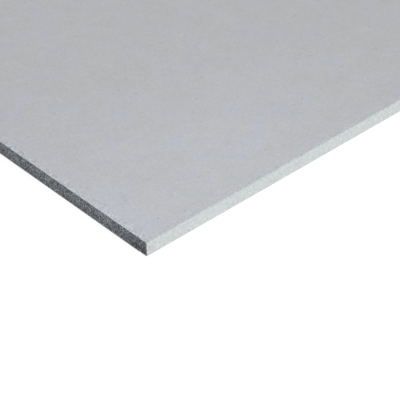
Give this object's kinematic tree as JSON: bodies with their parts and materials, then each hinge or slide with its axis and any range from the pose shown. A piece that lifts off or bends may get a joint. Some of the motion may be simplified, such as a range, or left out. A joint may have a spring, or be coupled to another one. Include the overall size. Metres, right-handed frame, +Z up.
{
  "type": "drywall sheet",
  "caption": "Square-edge gypsum board: a dark grey gypsum core between paper liners, with the face paper wrapped round the long edges and cut ends left bare.",
  "frame": {"origin": "under the middle of the board, in the plane of its back paper, which it rests on", "axes": "+X along the 2400 mm length, which is the run of the wrapped edges; +Y across the 1200 mm width; +Z up through the thickness, out of the face"},
  "size_m": [2.4, 1.2, 0.0125],
  "materials": {
    "gypsum_core": "matte",
    "face_liner": "matte",
    "back_liner": "matte"
  },
  "bodies": {
    "root": {"gypsum_core": "gypsum_core", "face_paper": "face_liner", "back_paper": "back_liner"}
  },
  "joints": []
}
